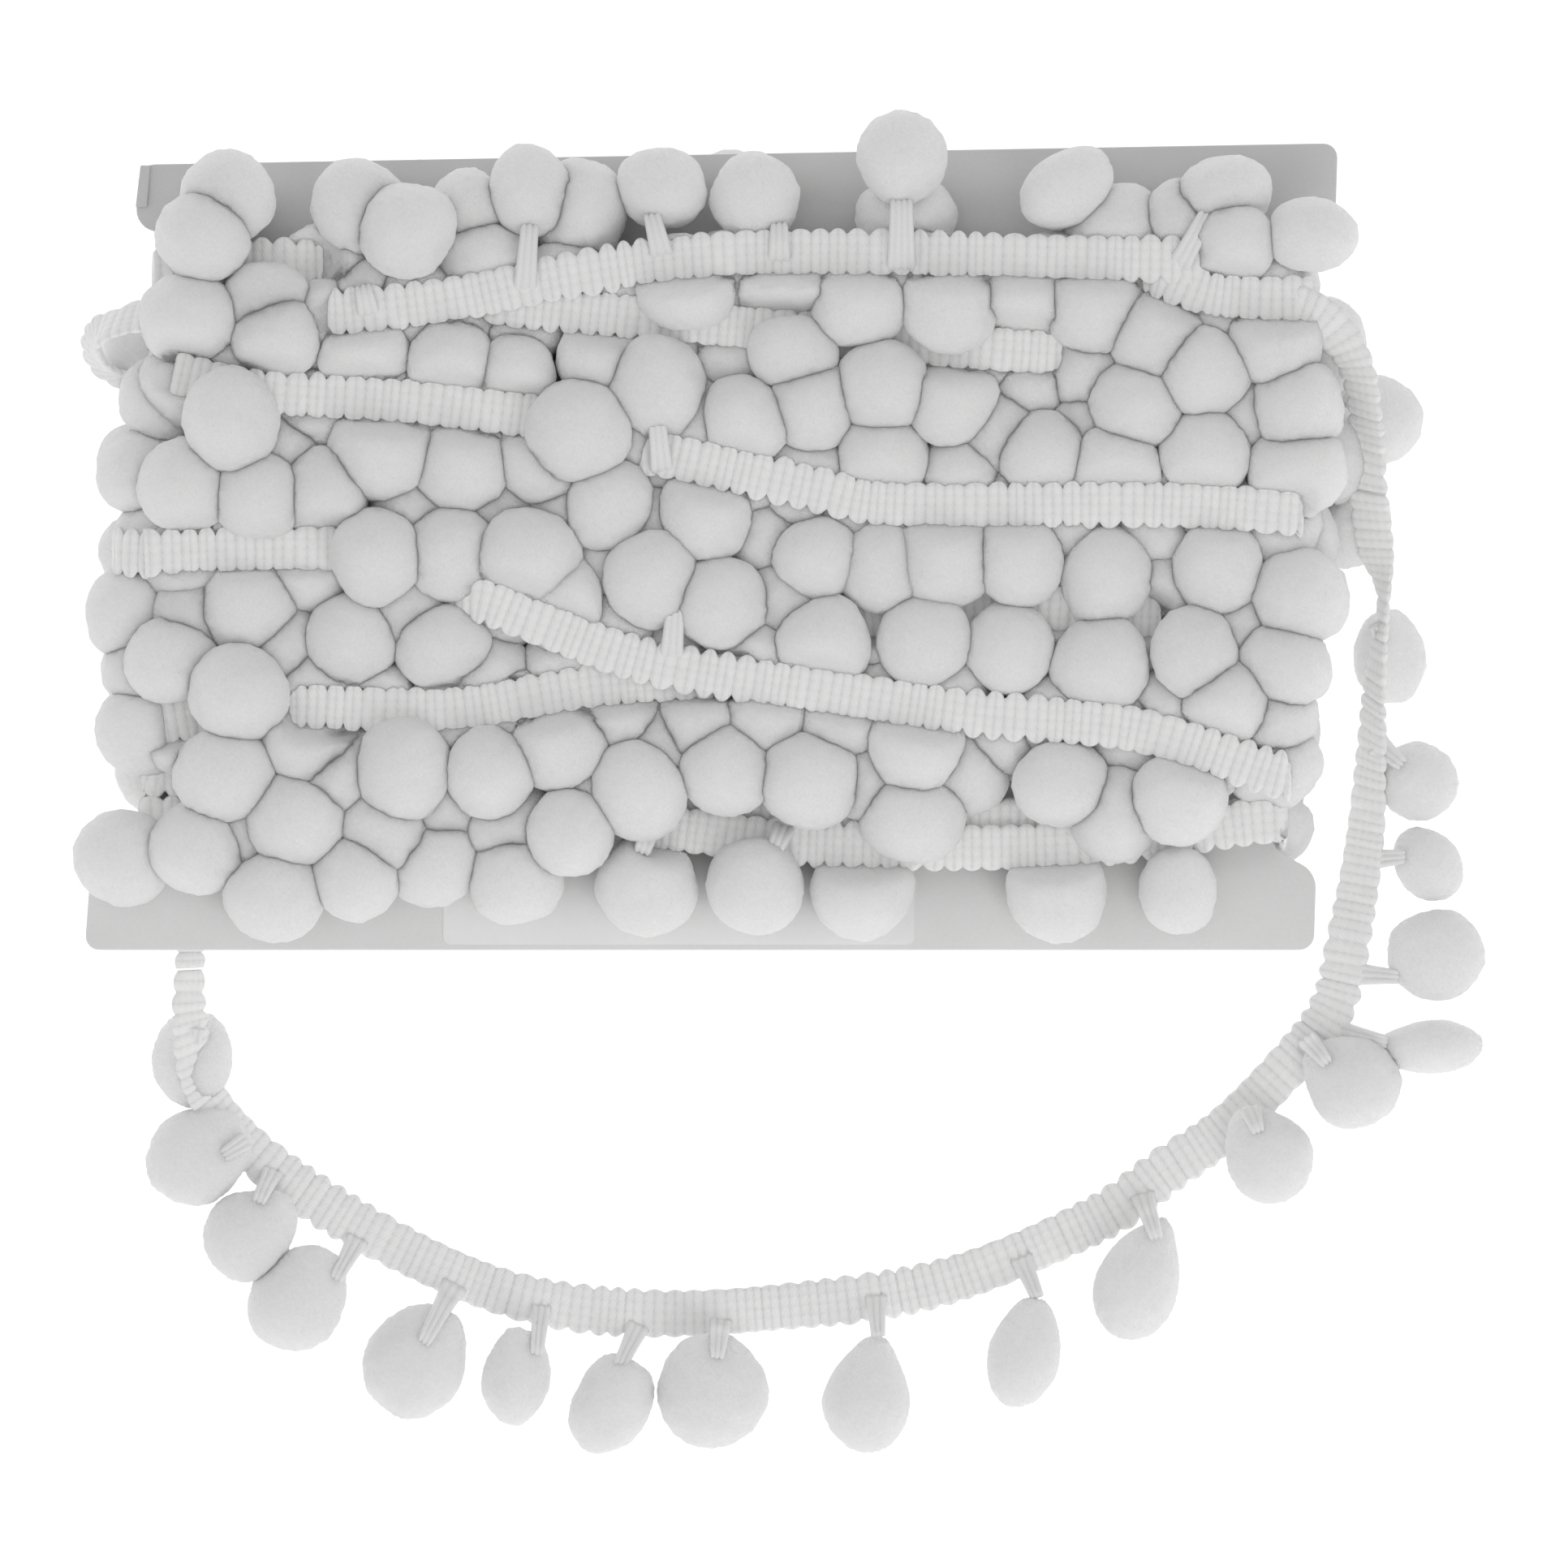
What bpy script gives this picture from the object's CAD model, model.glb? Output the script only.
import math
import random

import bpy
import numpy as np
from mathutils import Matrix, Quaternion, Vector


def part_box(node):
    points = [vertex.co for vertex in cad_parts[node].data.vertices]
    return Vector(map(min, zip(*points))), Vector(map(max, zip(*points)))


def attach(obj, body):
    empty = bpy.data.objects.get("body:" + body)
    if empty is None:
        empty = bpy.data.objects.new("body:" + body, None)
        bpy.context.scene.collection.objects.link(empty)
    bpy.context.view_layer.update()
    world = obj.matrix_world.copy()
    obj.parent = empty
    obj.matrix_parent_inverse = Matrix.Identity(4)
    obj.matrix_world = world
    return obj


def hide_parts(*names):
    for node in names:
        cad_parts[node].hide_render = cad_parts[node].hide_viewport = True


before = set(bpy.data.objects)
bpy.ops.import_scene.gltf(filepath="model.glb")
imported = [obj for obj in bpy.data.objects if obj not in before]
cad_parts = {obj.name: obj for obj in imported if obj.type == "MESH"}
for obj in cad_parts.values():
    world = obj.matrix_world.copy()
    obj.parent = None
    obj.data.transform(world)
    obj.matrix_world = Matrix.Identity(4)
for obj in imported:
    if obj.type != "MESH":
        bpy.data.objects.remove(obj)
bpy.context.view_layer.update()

# %% [markdown]
# # Pompom fringe trim on its card
#
# The real thing is one long tape with a scalloped edge, from which soft pompoms hang on
# short threads. It is wound about thirteen times round a notched card, and its last
# stretch lies loose in a bow below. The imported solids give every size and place. This
# lesson dresses them: a ribbed tape, pressed pompoms of soft yarn, the threads between,
# and a paper card with a bare sticker.

MM = 0.001
card_low, card_high = (Vector(corner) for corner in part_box("card"))
print("card, in mm:", [round(side / MM, 1) for side in card_high - card_low])

# %% [markdown]
# ## Camera, floor and light
#
# The photograph looks down on the card from almost straight above, through a long lens,
# so the camera stands at 4 m. The light is broad and soft, with its brighter side at the
# lower right, so creases stay pale and the top of the card is in light shade.

# %% Camera
FRAME_WIDTH = 322.0 * MM
CAMERA_DISTANCE = 4.0
CAMERA_LEAN = math.radians(1.0)
AIM = Vector((0.0, 0.0, card_high.z))

camera_data = bpy.data.cameras.new("camera")
camera_data.sensor_width = 36.0
camera_data.lens = camera_data.sensor_width * CAMERA_DISTANCE / FRAME_WIDTH
camera = bpy.data.objects.new("camera", camera_data)
bpy.context.collection.objects.link(camera)
camera.location = AIM + Vector((0.0, -math.sin(CAMERA_LEAN), math.cos(CAMERA_LEAN))) * CAMERA_DISTANCE
camera.rotation_euler = (CAMERA_LEAN, 0.0, 0.0)
bpy.context.scene.camera = camera
print("lens, in mm:", round(camera_data.lens, 1))


# %% Studio light
def soft_light(name, place, size, power):
    """A square area light that points at the middle of the card."""
    data = bpy.data.lights.new(name, "AREA")
    data.shape = "SQUARE"
    data.size = size
    data.energy = power
    light = bpy.data.objects.new(name, data)
    bpy.context.collection.objects.link(light)
    light.location = place
    light.rotation_euler = (AIM - light.location).to_track_quat("-Z", "Y").to_euler()
    return light


soft_light("key", (0.50, -0.95, 1.15), 0.9, 5.0)
soft_light("fill", (-0.8, 0.2, 1.4), 1.4, 1.3)
world = bpy.data.worlds.new("studio")
world.use_nodes = True
world.node_tree.nodes["Background"].inputs["Color"].default_value = (1.0, 1.0, 1.0, 1.0)
world.node_tree.nodes["Background"].inputs["Strength"].default_value = 0.575
bpy.context.scene.world = world
bpy.context.scene.view_settings.view_transform = "Standard"

# %% [markdown]
# ## Shader maths
#
# Long sums of nodes are hard to read, so this class wraps one socket, and an expression
# such as `1 - mask * 0.3` adds the Math nodes by itself.


# %% Sockets as values
class Value:
    """One output socket, or a plain number, that can be added, multiplied and so on."""

    def __init__(self, paint, socket):
        self.paint = paint
        self.socket = socket

    def sum_with(self, operation, first, second):
        """A Math node on two values."""
        return self.paint.node("ShaderNodeMath", {"operation": operation}, {0: first, 1: second})

    def __add__(self, other):
        return self.sum_with("ADD", self, other)

    def __radd__(self, other):
        return self.sum_with("ADD", other, self)

    def __sub__(self, other):
        return self.sum_with("SUBTRACT", self, other)

    def __rsub__(self, other):
        return self.sum_with("SUBTRACT", other, self)

    def __mul__(self, other):
        return self.sum_with("MULTIPLY", self, other)

    def __rmul__(self, other):
        return self.sum_with("MULTIPLY", other, self)

    def __pow__(self, other):
        return self.sum_with("POWER", self, other)

    def sine(self):
        """The sine of a value in radians."""
        return self.sum_with("SINE", self, 0.0)

    def size(self):
        """The value without its sign."""
        return self.sum_with("ABSOLUTE", self, 0.0)


class Paint:
    """A new material, and the one method that adds any node to it."""

    def __init__(self, name, roughness, sheen=0.0, depth=0.0):
        self.material = bpy.data.materials.new(name)
        self.material.use_nodes = True
        self.tree = self.material.node_tree
        self.shader = self.tree.nodes["Principled BSDF"]
        self.shader.inputs["Roughness"].default_value = roughness
        self.shader.inputs["Specular IOR Level"].default_value = 0.2
        self.shader.inputs["Sheen Weight"].default_value = sheen
        self.shader.inputs["Sheen Roughness"].default_value = 0.6
        self.shader.inputs["Subsurface Weight"].default_value = 0.9 if depth else 0.0
        self.shader.inputs["Subsurface Radius"].default_value = (1.0, 1.0, 1.0)
        self.shader.inputs["Subsurface Scale"].default_value = depth

    def node(self, kind, settings, inputs, output=0):
        """Add a node: its settings first, then the value or link of each socket."""
        made = self.tree.nodes.new(kind)
        for name, setting in settings.items():
            setattr(made, name, setting)
        for key, given in inputs.items():
            self.join(given, made.inputs[key])
        return Value(self, made.outputs[output])

    def join(self, given, socket):
        """Link a value to a socket, or set the socket."""
        if isinstance(given, Value):
            self.tree.links.new(given.socket, socket)
        else:
            socket.default_value = given

    def place(self):
        """The surface point in metres, as the object lies."""
        return self.node("ShaderNodeTexCoord", {}, {}, "Object")

    def noise(self, size, detail=2.0):
        """Soft noise from 0 to 1 with spots of about the given size in metres."""
        inputs = {"Vector": self.place(), "Scale": 1.0 / size, "Detail": detail, "Roughness": 0.6}
        return self.node("ShaderNodeTexNoise", {}, inputs, "Fac")

    def mix(self, share, first, second):
        """A colour between two colours. A Mix node keeps its colour sockets at 6 and 7."""
        inputs = {0: share, 6: (*first, 1.0), 7: (*second, 1.0)}
        return self.node("ShaderNodeMix", {"data_type": "RGBA"}, inputs, 2)

    def axis(self, vector, name):
        """One axis of a vector."""
        return self.node("ShaderNodeSeparateXYZ", {}, {"Vector": vector}, name)

    def bump(self, height, distance, strength, under=None):
        """A Bump node for the Normal socket."""
        inputs = {"Height": height, "Distance": distance, "Strength": strength}
        if under is not None:
            inputs["Normal"] = under
        return self.node("ShaderNodeBump", {}, inputs)

    def wear(self, colour, normal=None):
        """Give the shader its varying colour and normal."""
        self.join(colour, self.shader.inputs["Base Color"])
        if normal is not None:
            self.join(normal, self.shader.inputs["Normal"])
        return self.material


print("shader helpers are ready")

# %% [markdown]
# ## Yarns
#
# A pompom is cut yarn: matt, with a fine grain of fibre ends. Light goes a few millimetres
# into it, and sheen stands in for what its loose fibres catch. The tape is plied thread
# laid across, so its finish follows the tape's own UV map, in millimetres.


# %% Pompom yarn
def pompom_yarn():
    paint = Paint("pompom yarn", 0.95, sheen=0.7, depth=5.0 * MM)
    tufts = paint.noise(2.4 * MM, 3.0)
    fibres = paint.noise(0.8 * MM, 4.0)
    cloud = paint.noise(14.0 * MM, 1.0)
    tone = tufts * 0.8 + fibres * 1.6 + cloud * 0.3 - 0.85
    colour = paint.mix(tone, (0.90, 0.90, 0.90), (0.99, 0.99, 0.985))
    soft = paint.bump(tufts, 0.8 * MM, 0.5)
    return paint.wear(colour, normal=paint.bump(fibres, 0.6 * MM, 0.9, soft))


def thread_yarn():
    paint = Paint("stem thread", 0.85, sheen=0.2)
    strands = paint.noise(0.35 * MM, 2.0)
    colour = paint.mix(strands, (0.84, 0.84, 0.84), (0.95, 0.95, 0.945))
    return paint.wear(colour, normal=paint.bump(strands, 0.2 * MM, 0.4))


# %% Tape yarn
RIB_PITCH = 2.0 * MM
SCALLOP_PITCH = 2 * RIB_PITCH
WARP_LINES = 5


def tape_yarn():
    paint = Paint("tape yarn", 0.8, sheen=0.15)
    uv = paint.node("ShaderNodeUVMap", {"uv_map": "tape"}, {})
    along = paint.axis(uv, "X")
    across = paint.axis(uv, "Y")
    rib = (along * (math.pi / (RIB_PITCH / MM))).sine().size()
    warp = (across * (math.pi * WARP_LINES / 10.0)).sine().size()
    ply = ((along * 9.0 + across * 4.5)).sine() * 0.5 + 0.5
    spots = paint.noise(3.5 * MM, 2.0)
    dots = (1 - rib) * (1 - warp)
    tone = rib ** 0.6 * 0.4 + ply * 0.1 + spots * 0.6 - dots * 0.4 + 0.05
    colour = paint.mix(tone, (0.81, 0.81, 0.81), (0.99, 0.99, 0.985))
    beads = paint.bump(rib ** 0.5 * (warp * 0.6 + 0.4), 0.3 * MM, 0.5)
    height = ply * 0.5 + paint.noise(0.3 * MM, 2.0) * 0.5
    return paint.wear(colour, normal=paint.bump(height, 0.15 * MM, 0.5, beads))


YARN = pompom_yarn()
THREAD = thread_yarn()
TAPE = tape_yarn()
print("yarns:", YARN.name, THREAD.name, TAPE.name)

# %% [markdown]
# ## Where everything lies
#
# These tables repeat the part's own, in millimetres: across, up, and heights over the
# card's front or over the floor. A band's row names a stretch of tape that shows on the
# front. A course is a row of pompoms, and its lift is how far their middles stand over
# the card. Only the loose pompoms have a number more here, for their narrow end.

# %% Sizes and tables
CARD_BACK = card_low.z
CARD_FRONT = card_high.z
POMPOM_RADIUS = 9.8 * MM
TAPE_WIDTH = 10.0 * MM
TAPE_THICKNESS = 1.5 * MM

FRONT_TURNS = (
    ("first band", 17.0, ((-91, 96), (-68, 99), (-44, 104), (-11, 108), (39, 108), (81, 107))),
    ("second band", 15.0, ((-59, 98), (-28, 95), (6, 92), (53, 88))),
    ("corner band", 16.0, ((76, 104), (87, 100), (99, 99), (107, 99))),
    ("third band", 16.0, ((-125, 84), (-106, 80), (-78, 78), (-44, 74))),
    ("fourth band", 18.0, ((-25, 67), (6, 60), (24, 57), (72, 57), (104, 55))),
    ("fifth band", 15.0, ((-131, 47), (-106, 48), (-88, 48))),
    ("sixth band", 18.0, ((-62, 37), (-51, 33), (-28, 25), (6, 19), (39, 14), (72, 11), (100, 2))),
    ("crossing band", 15.0, ((-98, 15.5), (-69, 15), (-38, 20), (-10, 22))),
    ("short band", 12.0, ((18, 34), (47, 36), (74, 34))),
    ("edge band", 10.0, ((-130, 12), (-118, 14))),
    ("lowest band", 8.0, ((-26, -9), (6, -12.5), (56, -12.5), (98, -8))),
    ("top left band", 8.0, ((-113, 107), (-97, 107))),
)
FRONT_COURSES = (
    ("upper edge", 12.0, (
        (-114, 120), (-87, 118), (-52, 121), (-25, 122),
        (-6, 120), (58, 122), (90, 120.5),
    )),
    ("upper edge, proud", 16.5, ((-119, 111.5), (-77, 113), (24, 128), (92.5, 110), (108, 112))),
    ("upper edge, deep", 7.5, (
        (-65, 117.5), (-42, 117.5), (25, 116), (68, 112),
        (83, 114), (-94, 106), (-61, 106),
    )),
    ("below the first band", 15.0, ((-122, 95), (-104, 91), (-86, 88), (-68, 86), (-55, 83), (-38, 87))),
    ("right of them", 16.0, ((-20, 102), (0, 101), (15, 98), (34, 98), (48, 98), (63, 97), (76, 91))),
    ("upper right", 16.0, ((100, 90), (86, 84), (72, 77), (86, 68), (105, 77), (105, 64))),
    ("upper middle", 16.0, ((-26, 81), (-8, 74), (6, 78), (34, 78), (20, 81), (2, 88))),
    ("under the third band", 14.0, ((-82, 68), (-66, 65), (-50, 66), (20, 66), (53, 67), (68, 64))),
    ("left", 15.0, ((-122, 61), (-108, 59), (-94, 59), (-106, 98))),
    ("over the bands' ends", 18.5, ((-113, 74), (-42, 72), (-52, 46), (-111.5, 18))),
    ("middle", 16.0, ((-36, 57), (-16, 55), (-68, 47), (-83, 46), (-27, 42), (-13, 37))),
    ("middle right", 14.0, (
        (-46, 37), (7, 46), (20, 44), (33, 46),
        (48, 46), (66, 42), (89, 44), (105, 38),
    )),
    ("middle left", 13.0, ((-110, 36), (-125, 25), (-89, 29), (-70, 28), (-97, 8))),
    ("above the sixth band", 14.5, ((8, 28), (29, 29), (46, 28), (65, 24), (84, 26), (90, 16), (102, 24))),
    ("below the sixth band", 12.0, ((-34, 14), (-17, 13), (-4, 14), (11, 12), (26, -6), (-92, 3))),
    ("lower", 15.0, ((-114, 2), (-78, 3), (-60, 2), (-46, 8), (-30, -1), (-12, 3), (5, 1), (27, 8))),
    ("lower right", 15.0, ((57, 0), (81, -3), (-100, -7), (-44, -10))),
    ("lowest", 9.0, (
        (-120, -13), (-104.5, -22.5), (-88, -18.5), (-72, -15), (-55.5, -19), (-28, -21), (-6, -21),
    )),
    ("lowest right", 9.0, ((16, -22), (56, -22), (81, -22))),
)
SIDE_COURSES = (
    ("left, by the card", 27.0, (
        (-127, 78), (-131, 64), (-128, 49), (-134, 35),
        (-130, 24), (-131, 11), (-135, -15),
    )),
    ("left, low", 11.0, ((-130, 90), (-131, 66), (-131, 48), (-130, 24), (-128, 4))),
    ("right, by the card", 26.0, ((110, 90), (104, 50), (100.5, 24))),
    ("right, low", 11.0, ((104, 72), (115.5, 54.5), (101, 29), (101.5, 12), (98.5, -8.7), (121, 75))),
)
SLACK_TURN = (
    (-122, 95, 36, 10), (-133, 95, 36, 20), (-140, 92.5, 31, 45), (-141, 88, 22, 60),
    (-137, 84, 15, 75), (-126, 82, 13, 60),
)
STRAND = (
    (99, 99, 38, 0), (110, 95, 39, 20), (117, 86, 37, 45), (119.5, 73, 31, 50), (120, 60, 26, 40),
    (121.5, 49, 22, 40), (123.3, 38, 19, 80), (121.8, 22, 16, 68), (121, 6, 10, 54),
    (119.5, -12, 6.5, 35), (116.4, -31, 5.0, 24), (113, -46, 4.0, 20), (104, -58, 3.5, 15),
    (91, -71, 2.5, 15), (79, -79.3, 1.3, 3), (64, -89.5, 1.1, 0), (31, -103, 1.1, 0),
    (-3, -108, 1.1, 0), (-33, -108.5, 1.1, 0), (-59, -104, 1.1, 0), (-86, -92, 1.1, 0),
    (-108, -77, 2.5, 12), (-119.3, -63, 8.0, 35), (-122, -50, 13.5, 45), (-122.2, -38, 14.5, 57),
    (-121.5, -26, 15.0, 50), (-119, -12, 16.0, 20), (-112, 0, 17.0, 0),
)
# Across, up, length, width, height, turn from +X, and how far it narrows to its stem
LOOSE_POMPOMS = (
    (124.8, 26.8, 20.0, 14.5, 11.0, -80, 0.15), (130.5, 1.0, 17.0, 16.0, 16.0, -20, 0.10),
    (132.5, -16.0, 17.0, 14.5, 15.0, -55, 0.20), (134.0, -34.7, 21.5, 19.5, 17.0, -3, 0.15),
    (132.0, -54.0, 23.5, 11.0, 13.0, 3, 0.30), (116.5, -60.5, 22.0, 19.0, 17.0, -35, 0.35),
    (99.7, -75.5, 21.0, 18.0, 17.0, -60, 0.25), (73.5, -101.5, 28.0, 18.0, 16.0, -112, 0.30),
    (49.8, -116.7, 24.0, 15.5, 15.0, -102, 0.25), (17.5, -125.0, 26.0, 18.5, 16.0, -98, 0.40),
    (-14.8, -124.5, 24.5, 23.5, 17.0, -85, 0.15), (-35.8, -127.7, 21.0, 17.0, 16.0, -118, -0.10),
    (-55.2, -121.3, 21.5, 15.0, 15.0, -98, 0.10), (-75.5, -118.2, 24.0, 20.0, 17.0, -120, 0.15),
    (-100.0, -105.5, 23.0, 19.0, 16.0, -122, 0.10), (-109.7, -92.2, 21.0, 18.0, 16.0, -140, 0.20),
    (-120.2, -76.0, 22.0, 19.5, 15.0, -152, 0.20), (-121.8, -56.0, 20.5, 18.0, 12.5, -90, 0.10),
)
print("front pompoms:", sum(len(centres) for _, _, centres in FRONT_COURSES))

# %% [markdown]
# ## The tape
#
# On the real trim two threads run out and back for each scallop, so the tape has two ribs
# to a scallop and a rounded loop at its edge, and five warp threads tie the ribs down.
# Rings of points follow the route here, and the ribs, warps and scallops move each ring.
# Scallops and ribs are real geometry because they show in the outline, and the thread's
# ply and its beads are left to the material.


# %% Routes
def smooth_route(rows, spacing):
    """Even stations on the smooth curve through rows of place and tilt, in metres."""
    knots = np.array(rows, float)
    knots[:, :3] *= MM
    knots = np.vstack([2 * knots[0] - knots[1], knots, 2 * knots[-1] - knots[-2]])
    share = np.linspace(0, 1, 24, endpoint=False)[:, None]
    fine = []
    for before, start, end, after in zip(knots, knots[1:], knots[2:], knots[3:]):
        fine.append(
            0.5 * (2 * start + (end - before) * share
                   + (2 * before - 5 * start + 4 * end - after) * share ** 2
                   + (3 * start - before - 3 * end + after) * share ** 3)
        )
    fine = np.vstack([*fine, knots[-2]])
    length = np.concatenate([[0], np.cumsum(np.linalg.norm(np.diff(fine[:, :3], axis=0), axis=1))])
    count = max(3, round(length[-1] / spacing))
    even = np.linspace(0, length[-1], count + 1)
    return np.column_stack([np.interp(even, length, column) for column in fine.T]), length[-1]


def unit(vectors):
    """Vectors of length 1."""
    return vectors / np.maximum(np.linalg.norm(vectors, axis=-1, keepdims=True), 1e-12)


def strand_frames(route):
    """Side and face of a loose tape, which keeps level but for its tilt."""
    along = unit(np.gradient(route[:, :3], axis=0))
    level = unit(np.cross(along, (0, 0, 1)))
    flat = np.cross(level, along)
    tilt = np.radians(route[:, 3:4])
    side = level * np.cos(tilt) - flat * np.sin(tilt)
    face = flat * np.cos(tilt) + level * np.sin(tilt)
    return side, face


def turn_frames(route):
    """Side and face of a wound tape, whose edge keeps towards the card's top."""
    along = unit(np.gradient(route[:, :3], axis=0))
    upwards = np.array((0.0, 1.0, 0.0))
    side = unit(upwards - along * (along @ upwards)[:, None])
    return side, np.cross(along, side)


print("route helpers are ready")


# %% The ribbed strip
FINE_STEP = SCALLOP_PITCH / 10
FINE_ACROSS = 12
WOUND_NOTCH = 1.9 * MM
LOOSE_NOTCH = 1.1 * MM
RIB_DEPTH = 0.3 * MM
VALLEY_DEPTH = 0.5 * MM


def distances(route, start=0.0):
    """How far along the tape each even station of a route lies."""
    return start + np.arange(len(route)) * FINE_STEP


def tube_faces(count, ring):
    """Quads between neighbouring rings, and the two end faces."""
    here = np.arange(ring)
    rows = np.arange(count - 1)[:, None] * ring
    first = (rows + here).ravel()
    second = (rows + (here + 1) % ring).ravel()
    quads = np.column_stack([first, first + ring, second + ring, second])
    return quads, [list(range(ring)), list(range(ring * (count - 1), ring * count))[::-1]]


def tape_strip(route, frames, across, along, both_faces=False):
    """Points, faces and UVs of one tape. across is how many steps its top has. The wound
    tape is pulled tight, which opens the notches between its loops."""
    side, face = frames
    start = along[0]
    along = along + 0.5 * MM * np.sin(along * 190.0) + 0.3 * MM * np.sin(along * 431.0 + 2.0)
    rib = np.abs(np.sin(np.pi * along / RIB_PITCH))[:, None]
    loop = np.abs(np.sin(np.pi * along / SCALLOP_PITCH))[:, None]
    drift = np.sin(along * 61.0 + start * 900.0)[:, None] * 0.25 * MM
    lobe = np.floor(along / SCALLOP_PITCH)[:, None]
    uneven = np.sin(lobe * 12.9898 + 4.0)
    notch = (LOOSE_NOTCH if both_faces else WOUND_NOTCH) * (0.8 + 0.2 * uneven)
    half_width = TAPE_WIDTH / 2 - notch * (1 - loop ** 0.6) + 0.25 * MM * uneven * loop
    spread = np.sin(np.linspace(-1, 1, across + 1) * math.pi / 2)[None, :]
    warp = np.abs(np.sin(spread * math.pi * WARP_LINES / 2))
    edge = np.sqrt(np.clip(1 - spread ** 6, 0, 1))
    groove = RIB_DEPTH * (1 - rib ** 0.6) * (0.6 + 0.4 * (1 - warp))
    valley = VALLEY_DEPTH * (1 - loop ** 0.5) * (0.5 + 0.5 * spread ** 2)
    rise = (TAPE_THICKNESS / 2 + 0.15 * MM - groove - valley) * edge
    low_spread = spread[:, ::-1][:, 1:-1]
    if both_faces:
        low_rise = -rise[:, ::-1][:, 1:-1]
    else:
        low_spread = np.array([[0.8, 0.0, -0.8]])
        low_rise = np.full((len(route), 3), -TAPE_THICKNESS / 2)
    offsets = np.hstack([spread * half_width, low_spread * half_width]) + drift
    heights = np.hstack([rise, low_rise])
    ring = offsets.shape[1]
    points = route[:, None, :3] + side[:, None] * offsets[..., None] + face[:, None] * heights[..., None]
    uvs = np.stack([np.broadcast_to(along[:, None], offsets.shape), offsets], axis=-1) / MM
    return points.reshape(-1, 3), *tube_faces(len(route), ring), uvs.reshape(-1, 2)


def mesh_piece(name, parts, material, uv_name=None):
    """One object from many strips or balls, each its points, faces, caps and UVs."""
    points, faces, uvs, offset = [], [], [], 0
    for part_points, part_faces, caps, part_uvs in parts:
        points.append(part_points)
        faces.extend((part_faces + offset).tolist())
        faces.extend([[index + offset for index in cap] for cap in caps])
        uvs.append(part_uvs)
        offset += len(part_points)
    mesh = bpy.data.meshes.new(name)
    mesh.from_pydata(np.vstack(points), [], faces)
    if uv_name:
        corner_points = np.empty(len(mesh.loops), np.int32)
        mesh.loops.foreach_get("vertex_index", corner_points)
        layer = mesh.uv_layers.new(name=uv_name)
        layer.data.foreach_set("uv", np.vstack(uvs)[corner_points].astype(np.float32).ravel())
    mesh.polygons.foreach_set("use_smooth", np.ones(len(mesh.polygons), bool))
    mesh.materials.append(material)
    mesh.update()
    piece = bpy.data.objects.new(name, mesh)
    bpy.context.collection.objects.link(piece)
    triangles = sum(len(face) - 2 for face in faces)
    print(name, "triangles:", triangles)
    return piece


# %% The loose strand, and both its ends that stay with the winding
LOOSE_START = 4
LOOSE_END = 24
whole_strand, _ = smooth_route(STRAND, FINE_STEP)
whole_side, whole_face = strand_frames(whole_strand)
first_loose, last_loose = (
    int(np.linalg.norm(whole_strand[:, :3] - np.array(STRAND[row][:3]) * MM, axis=1).argmin())
    for row in (LOOSE_START, LOOSE_END)
)


def strand_piece(name, first, last):
    """The strand's tape between two stations, as its own object, and its length."""
    route = whole_strand[first:last + 1]
    frames = whole_side[first:last + 1], whole_face[first:last + 1]
    strip = tape_strip(route, frames, FINE_ACROSS, distances(route, first * FINE_STEP), True)
    length = np.linalg.norm(np.diff(route[:, :3], axis=0), axis=1).sum()
    return mesh_piece(name, [strip], TAPE, "tape"), length


loose_tape, loose_length = strand_piece("loose_tape", first_loose, last_loose)
leaving_tape, leaving_length = strand_piece("leaving_tape", 0, first_loose - 1)
returning_tape, returning_length = strand_piece("returning_tape", last_loose + 1, len(whole_strand) - 1)
strand_lengths = (loose_length, leaving_length, returning_length)
print("loose, leaving and returning, in mm:", [round(length / MM) for length in strand_lengths])

# %% [markdown]
# ## The turns on the card
#
# Each band that shows on the front belongs to a turn that goes right round the card: over
# the front, round the right edge, along the back and round the left edge. A short row of
# places makes each turn, and the stretches that pompoms hide dip towards the card. Under
# them, plain turns lie side by side on the card, so every gap between pompoms shows tape.

# %% Turns round the card
LEFT_EDGE = -131.0
RIGHT_EDGE = 103.0
NEAR_EDGE = 14.0
BACK_HEIGHTS = (3.0, 15.0, 9.0)
LEFT_REACH = -137.0
SIDE_PLY = 2.2 * MM
FLOOR_PLY = 1.3 * MM


def notch_left(up):
    """Where the card's left notch stands, in metres."""
    return -129.4 * MM + (up + 5.5 * MM) * 0.025


def notch_right(up):
    """Where the card's right notch stands, in metres."""
    return 100.0 * MM + (up + 13.0 * MM) * 0.048


# Where pompoms hide a band's end it runs on for two steps, down to this lift over the card
FIRST_STEP = 9
SECOND_STEP = 24
HIDDEN_LIFT = 5


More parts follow.
